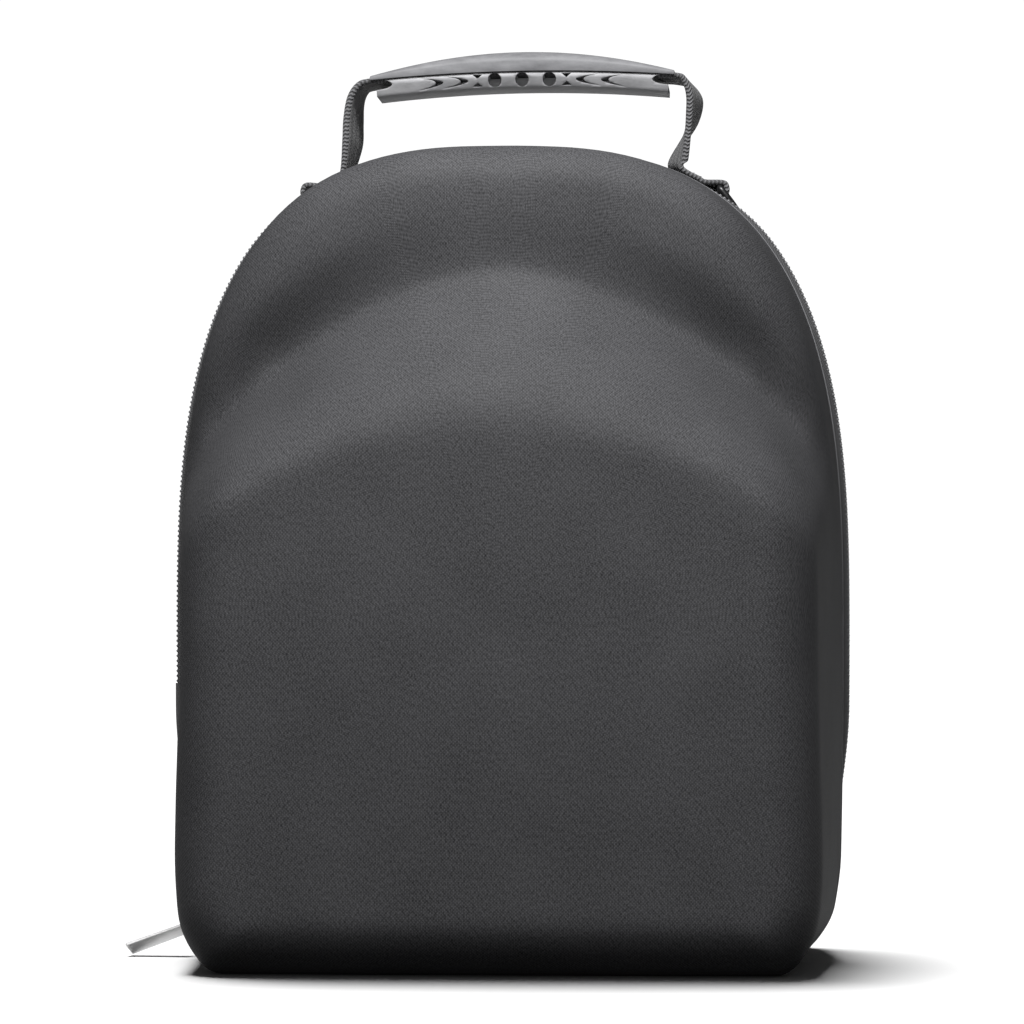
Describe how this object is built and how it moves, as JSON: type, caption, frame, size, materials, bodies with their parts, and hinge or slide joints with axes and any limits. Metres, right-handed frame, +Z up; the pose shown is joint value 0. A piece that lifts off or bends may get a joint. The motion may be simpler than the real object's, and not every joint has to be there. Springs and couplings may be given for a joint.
{
  "type": "baseball cap carrier case",
  "caption": "Moulded shell case that carries a stack of baseball caps, with a deep crown bulge, a zip round it, and a webbing top handle with a moulded grip.",
  "frame": {"origin": "on the floor under the middle of the case's footprint, on the flat base", "axes": "+Z up, -Y towards the deep front with the crown bulge, +X to the right seen from the front"},
  "size_m": [0.2757, 0.178, 0.347],
  "materials": {
    "shell_cloth": "fine woven polyester on moulded foam, charcoal black",
    "zip_tape": "woven tape, black",
    "zip_teeth": "moulded coil, black",
    "black_metal": "black lacquer",
    "satin_nickel": "satin",
    "tab_cloth": "woven tab, black",
    "grey_grip": "soft moulded, mid grey",
    "webbing": "ribbed webbing, black"
  },
  "bodies": {
    "case": {"front_shell": "shell_cloth", "back_shell": "shell_cloth", "zip_tape_front": "zip_tape", "zip_tape_back": "zip_tape", "zip_chain": "zip_teeth", "hinge_strip": "zip_tape", "zip_slider": "black_metal", "side_tab": "tab_cloth", "grip_top": "grey_grip", "grip_bottom": "grey_grip", "handle_strap": "webbing"},
    "pull": {"zip_pull": "satin_nickel"},
    "left_ring": {"ring_left": "black_metal"},
    "right_ring": {"ring_right": "black_metal"}
  },
  "joints": [
    {"name": "pull_swing", "type": "hinge", "parent": "case", "child": "pull", "pos_m": [-0.11934, 0.019, 0.01252], "axis": [-0.15, -0.8988, 0.4119], "range_deg": [-65, 65]},
    {"name": "left_ring_swing", "type": "hinge", "parent": "case", "child": "left_ring", "pos_m": [-0.07833, 0.04533, 0.29221], "axis": [0.0442, 0.9969, -0.0648], "range_deg": [0, 120]},
    {"name": "right_ring_swing", "type": "hinge", "parent": "case", "child": "right_ring", "pos_m": [0.07833, 0.04533, 0.29221], "axis": [0.0442, -0.9969, 0.0648], "range_deg": [0, 120]}
  ]
}
